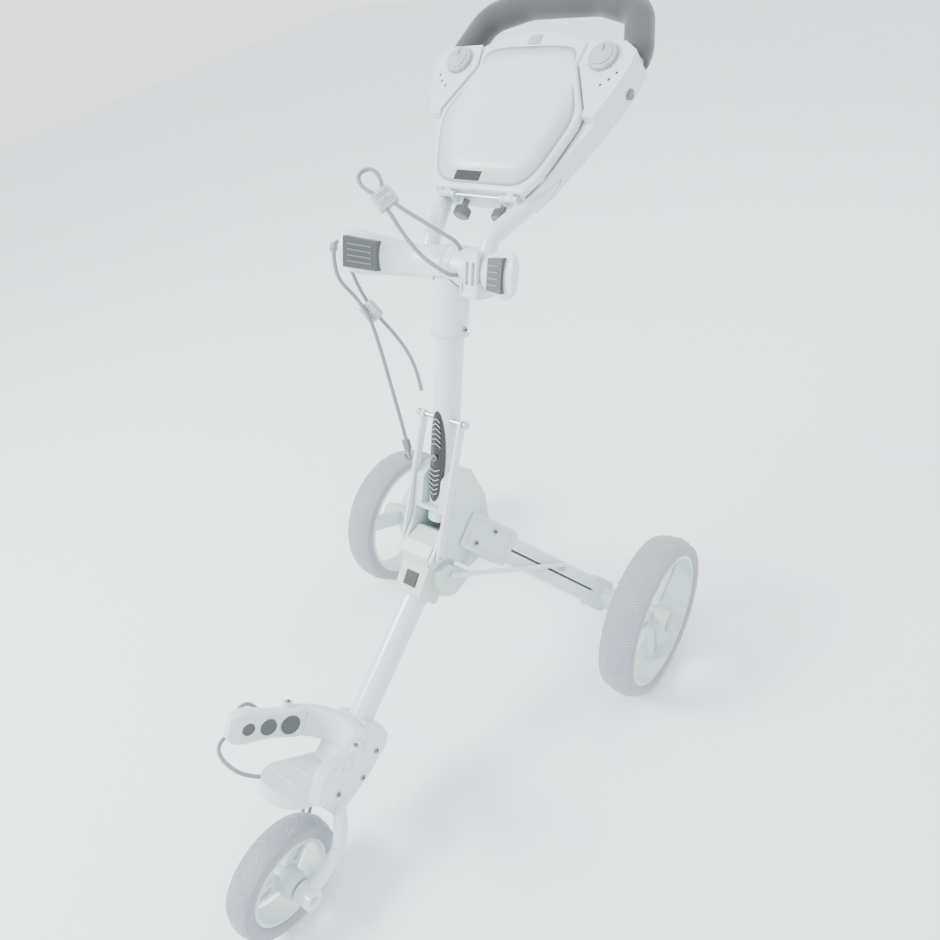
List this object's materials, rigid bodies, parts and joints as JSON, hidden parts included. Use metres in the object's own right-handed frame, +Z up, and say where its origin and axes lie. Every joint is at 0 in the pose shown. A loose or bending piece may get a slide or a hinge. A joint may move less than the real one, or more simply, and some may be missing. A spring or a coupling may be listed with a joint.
{
  "type": "golf push cart",
  "caption": "Folding three-wheel golf push cart with a looped foam handle, a lidded console, bag cradles with elastic cords, and spoked wheels on splayed arms.",
  "frame": {"origin": "on the ground, under the middle of the whole cart's box", "axes": "+X forward towards the front wheel, +Y to the cart's left, +Z up"},
  "size_m": [1.1418, 0.661, 1.0321],
  "materials": {
    "white_plastic": "satin moulded white",
    "mint_plastic": "pale mint white, satin",
    "white_paint": "gloss white powder coat",
    "tyre": "light gray foam tread, matt",
    "foam": "closed-cell foam, matt",
    "dark_plastic": "dark gray, matt",
    "gray_plastic": "mid gray, matt",
    "rubber_pad": "ribbed soft rubber",
    "badge_black": "glossy black",
    "dark_screw": "blackened steel",
    "steel": "zinc plated steel",
    "cord": "braided elastic cord"
  },
  "bodies": {
    "root": {"hub_housing": "mint_plastic", "hinge_pins": "steel", "frame_screws": "dark_screw", "post_tube": "white_paint", "side_links": "white_paint", "post_badge": "badge_black", "upper_hub": "white_plastic"},
    "front": {"front_tube": "white_paint", "front_head": "mint_plastic", "label_tile": "dark_plastic", "lower_bracket": "white_plastic", "fork_arm": "white_paint", "front_axle": "steel", "cradle_arm_left": "white_plastic", "cradle_arm_right": "white_plastic", "cradle_dots": "rubber_pad", "bracket_screws": "dark_screw", "bag_foot": "white_plastic", "cradle_cord": "cord", "fork_cord": "cord", "fork_hook": "gray_plastic"},
    "front_wheel": {"front_tyre": "tyre", "front_rim": "mint_plastic", "front_bearings": "steel", "front_cap": "gray_plastic"},
    "arm_left": {"rear_arm_left": "white_paint", "arm_cap_left": "mint_plastic", "rear_axle_left": "steel"},
    "arm_right": {"rear_arm_right": "white_paint", "arm_cap_right": "mint_plastic", "rear_axle_right": "steel"},
    "wheel_left": {"rear_left_tyre": "tyre", "rear_left_rim": "mint_plastic", "rear_left_bearings": "steel", "rear_left_cap": "gray_plastic"},
    "wheel_right": {"rear_right_tyre": "tyre", "rear_right_rim": "mint_plastic", "rear_right_bearings": "steel", "rear_right_cap": "gray_plastic"},
    "stay_left": {"stay_rod_left": "white_paint"},
    "stay_right": {"stay_rod_right": "white_paint"},
    "handle": {"handle_tube": "white_paint", "foam_grip": "foam", "bag_arm_left": "white_plastic", "bag_arm_right": "white_plastic", "upper_pads": "rubber_pad", "console_tray": "white_plastic", "handle_pins": "steel", "corner_blocks": "white_plastic", "console_fixings": "gray_plastic", "pencil_holder": "white_plastic", "upper_cord": "cord", "tip_cord": "cord", "cord_slides": "gray_plastic"},
    "lid": {"console_lid": "white_plastic", "name_tile": "dark_plastic"},
    "lid_button": {"lid_button": "gray_plastic"},
    "dial_left": {"dial_left": "gray_plastic"},
    "dial_right": {"dial_right": "gray_plastic"},
    "latch": {"handle_latch": "white_plastic"}
  },
  "joints": [
    {"name": "front_fold", "type": "hinge", "parent": "root", "child": "front", "pos_m": [0.0304, 0, 0.3786], "axis": [0, -1, 0], "range_deg": [0, 100]},
    {"name": "arm_swing_left", "type": "hinge", "parent": "root", "child": "arm_left", "pos_m": [-0.0726, 0.048, 0.334], "axis": [-0.2766, -0.8352, -0.4753], "range_deg": [0, 48]},
    {"name": "arm_swing_right", "type": "hinge", "parent": "root", "child": "arm_right", "pos_m": [-0.0726, -0.048, 0.334], "axis": [0.2766, -0.8352, 0.4753], "range_deg": [0, 48]},
    {"name": "stay_swing_left", "type": "hinge", "parent": "arm_left", "child": "stay_left", "pos_m": [-0.1479, 0.14663, 0.24239], "axis": [0.0131, 0.6692, 0.743], "range_deg": [0, 26]},
    {"name": "stay_swing_right", "type": "hinge", "parent": "arm_right", "child": "stay_right", "pos_m": [-0.1479, -0.14663, 0.24239], "axis": [-0.0131, 0.6692, -0.743], "range_deg": [0, 26]},
    {"name": "front_wheel_spin", "type": "hinge", "parent": "front", "child": "front_wheel", "pos_m": [0.4767, 0, 0.0942], "axis": [0, 1, 0], "continuous": true},
    {"name": "left_wheel_spin", "type": "hinge", "parent": "arm_left", "child": "wheel_left", "pos_m": [-0.1826, 0.2885, 0.145], "axis": [0, 1, 0], "continuous": true},
    {"name": "right_wheel_spin", "type": "hinge", "parent": "arm_right", "child": "wheel_right", "pos_m": [-0.1826, -0.2885, 0.145], "axis": [0, 1, 0], "continuous": true},
    {"name": "handle_fold", "type": "hinge", "parent": "root", "child": "handle", "pos_m": [-0.1876, 0, 0.768], "axis": [0, -1, 0], "range_deg": [-30, 105]},
    {"name": "lid_hinge", "type": "hinge", "parent": "handle", "child": "lid", "pos_m": [-0.26558, 0, 0.83668], "axis": [0, 1, 0], "range_deg": [0, 100]},
    {"name": "button_press", "type": "slide", "parent": "lid", "child": "lid_button", "axis": [-0.5878, 0, -0.809], "range_m": [0, 0.0025], "stiffness_N_per_m": 300},
    {"name": "dial_turn_left", "type": "hinge", "parent": "handle", "child": "dial_left", "pos_m": [-0.43434, 0.122, 0.96423], "axis": [0.5878, 0, 0.809], "continuous": true},
    {"name": "dial_turn_right", "type": "hinge", "parent": "handle", "child": "dial_right", "pos_m": [-0.43434, -0.122, 0.96423], "axis": [0.5878, 0, 0.809], "continuous": true},
    {"name": "latch_swing", "type": "hinge", "parent": "handle", "child": "latch", "pos_m": [-0.14328, 0.046, 0.75487], "axis": [0, 1, 0], "range_deg": [0, 60]}
  ],
  "couplings": [
    {"joint": "arm_swing_left", "follows": "front_fold", "ratio": 0.48},
    {"joint": "arm_swing_right", "follows": "front_fold", "ratio": 0.48},
    {"joint": "stay_swing_left", "follows": "front_fold", "ratio": 0.2551},
    {"joint": "stay_swing_right", "follows": "front_fold", "ratio": 0.2551}
  ]
}
